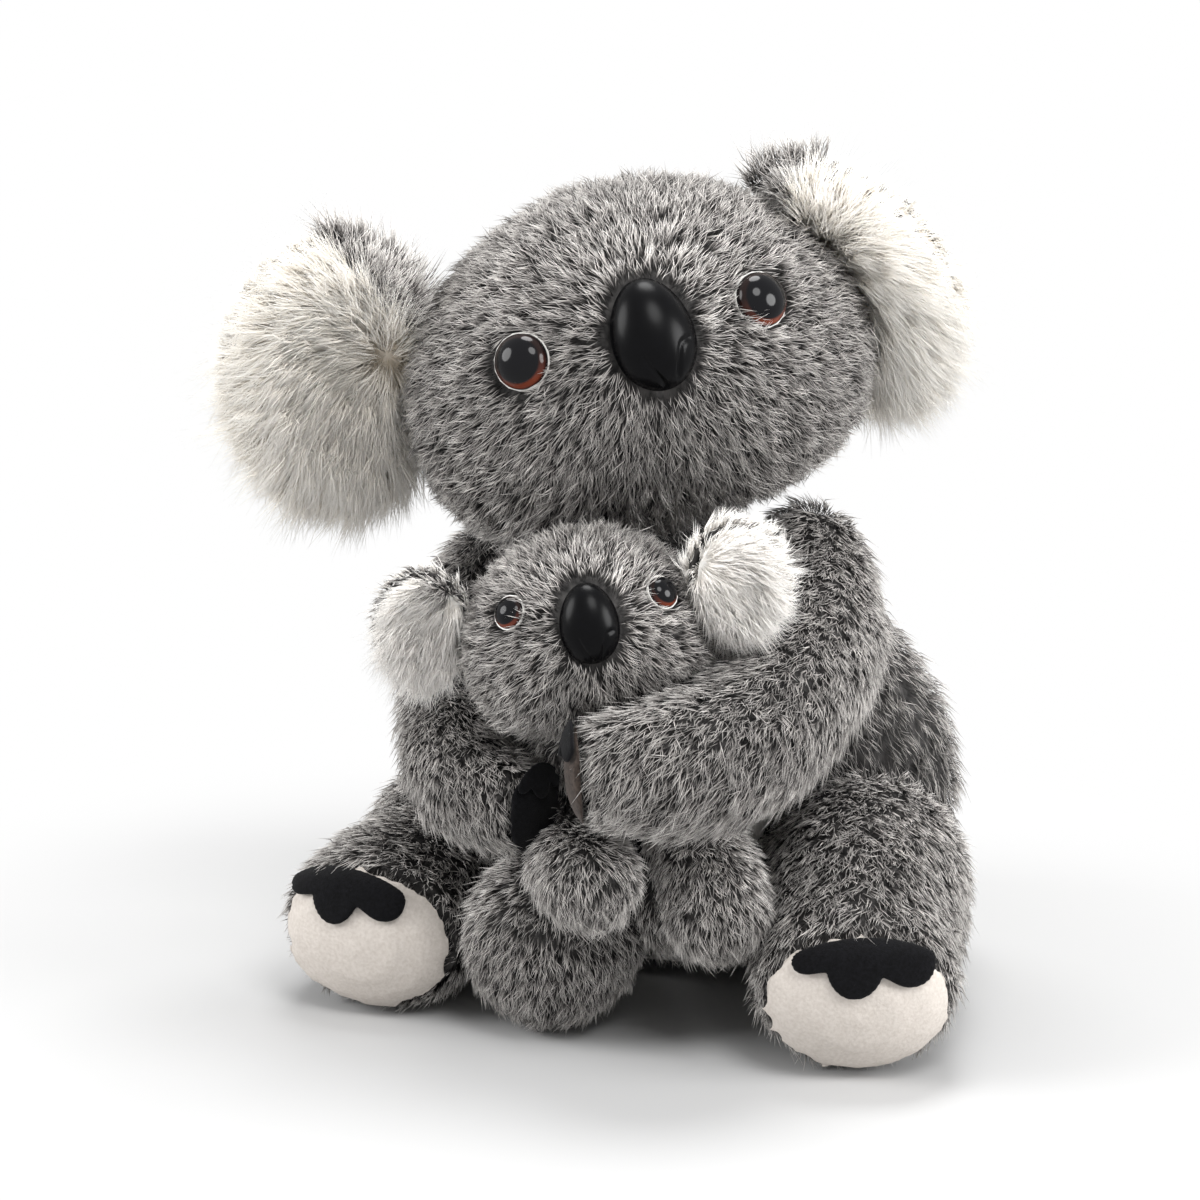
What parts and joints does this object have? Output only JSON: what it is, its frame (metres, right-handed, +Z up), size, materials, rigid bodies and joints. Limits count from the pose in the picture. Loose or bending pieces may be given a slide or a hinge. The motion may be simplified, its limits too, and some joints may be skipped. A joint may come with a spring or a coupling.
{
  "type": "plush koala",
  "caption": "Sitting plush mother koala that hugs her young one, with tipped fur, white-lined ears, plastic eyes and noses, white soles and felt claws",
  "frame": {"origin": "on the seat's flat underside, in the middle of the mother's body", "axes": "+Z is up, the mother faces -Y, and +X is her left"},
  "size_m": [0.2493, 0.2122, 0.2684],
  "materials": {
    "fur": "long tipped grey pile, dark roots and light tips",
    "white_pile": "short dense off-white pile",
    "cream_pile": "long fine cream-white pile",
    "felt": "black felt",
    "suede": "brown-grey imitation suede",
    "nose_plastic": "satin black plastic",
    "eye_plastic": "clear dome over an amber-brown iris and a black pupil",
    "rim_plastic": "white plastic rim",
    "washer_plastic": "plain white plastic"
  },
  "bodies": {
    "body": {"mother_body": "fur", "mother_belly_panel": "white_pile", "baby_body": "fur", "baby_left_leg": "fur", "baby_right_leg": "fur"},
    "mother_head": {"mother_head": "fur", "mother_nose": "nose_plastic", "mother_nose_washer": "washer_plastic", "mother_left_eye": "eye_plastic", "mother_left_eye_rim": "rim_plastic", "mother_left_eye_washer": "washer_plastic", "mother_right_eye": "eye_plastic", "mother_right_eye_rim": "rim_plastic", "mother_right_eye_washer": "washer_plastic"},
    "mother_left_ear": {"mother_left_ear_back": "fur", "mother_left_ear_pile": "cream_pile"},
    "mother_right_ear": {"mother_right_ear_back": "fur", "mother_right_ear_pile": "cream_pile"},
    "mother_left_arm": {"mother_left_arm": "fur", "mother_left_palm": "suede", "mother_left_hand_claws": "felt"},
    "mother_right_arm": {"mother_right_arm": "fur", "mother_right_palm": "felt", "mother_right_hand_claws": "felt"},
    "mother_left_leg": {"mother_left_leg": "fur", "mother_left_sole": "white_pile", "mother_left_toe_claws": "felt"},
    "mother_right_leg": {"mother_right_leg": "fur", "mother_right_sole": "white_pile", "mother_right_toe_claws": "felt"},
    "baby_head": {"baby_head": "fur", "baby_nose": "nose_plastic", "baby_nose_washer": "washer_plastic", "baby_left_eye": "eye_plastic", "baby_left_eye_rim": "rim_plastic", "baby_left_eye_washer": "washer_plastic", "baby_right_eye": "eye_plastic", "baby_right_eye_rim": "rim_plastic", "baby_right_eye_washer": "washer_plastic"},
    "baby_left_ear": {"baby_left_ear_back": "fur", "baby_left_ear_pile": "cream_pile"},
    "baby_right_ear": {"baby_right_ear_back": "fur", "baby_right_ear_pile": "cream_pile"},
    "baby_left_arm": {"baby_left_arm": "fur"},
    "baby_right_arm": {"baby_right_arm": "fur"}
  },
  "joints": [
    {"name": "mother_head_turn", "type": "hinge", "parent": "body", "child": "mother_head", "pos_m": [-0.006, -0.022, 0.128], "axis": [0, 0, 1], "range_deg": [-10, 8]},
    {"name": "mother_left_ear_fold", "type": "hinge", "parent": "mother_head", "child": "mother_left_ear", "pos_m": [0.03714, 0.019, 0.21564], "axis": [-0.3836, 0.2253, 0.8956], "range_deg": [0, 20]},
    {"name": "mother_right_ear_fold", "type": "hinge", "parent": "mother_head", "child": "mother_right_ear", "pos_m": [-0.08093, -0.03948, 0.20225], "axis": [-0.3836, 0.2253, 0.8956], "range_deg": [-20, 0]},
    {"name": "mother_left_arm_open", "type": "hinge", "parent": "body", "child": "mother_left_arm", "pos_m": [0.0486, -0.02, 0.14003], "axis": [0, 0, 1], "range_deg": [0, 20]},
    {"name": "mother_right_arm_open", "type": "hinge", "parent": "body", "child": "mother_right_arm", "pos_m": [-0.06043, -0.01426, 0.12403], "axis": [0, 0, 1], "range_deg": [-20, 0]},
    {"name": "mother_left_leg_swing", "type": "hinge", "parent": "body", "child": "mother_left_leg", "pos_m": [0.06721, -0.02193, 0.0325], "axis": [0, 0, 1], "range_deg": [0, 12]},
    {"name": "mother_right_leg_swing", "type": "hinge", "parent": "body", "child": "mother_right_leg", "pos_m": [-0.06739, -0.02193, 0.0325], "axis": [0, 0, 1], "range_deg": [-12, 0]},
    {"name": "baby_head_turn", "type": "hinge", "parent": "body", "child": "baby_head", "pos_m": [-0.002, -0.097, 0.09203], "axis": [0, 0, 1], "range_deg": [-6, 6]},
    {"name": "baby_left_ear_fold", "type": "hinge", "parent": "baby_head", "child": "baby_left_ear", "pos_m": [0.03409, -0.1056, 0.15302], "axis": [-0.2004, 0.2225, 0.9541], "range_deg": [-20, 0]},
    {"name": "baby_right_ear_fold", "type": "hinge", "parent": "baby_head", "child": "baby_right_ear", "pos_m": [-0.0363, -0.11433, 0.13823], "axis": [-0.2004, 0.2225, 0.9541], "range_deg": [0, 20]},
    {"name": "baby_left_arm_swing", "type": "hinge", "parent": "body", "child": "baby_left_arm", "pos_m": [0.022, -0.0882, 0.07363], "axis": [0, 0, 1], "range_deg": [-6, 0]},
    {"name": "baby_right_arm_swing", "type": "hinge", "parent": "body", "child": "baby_right_arm", "pos_m": [-0.014, -0.097, 0.07203], "axis": [0, 0, 1], "range_deg": [0, 6]}
  ]
}
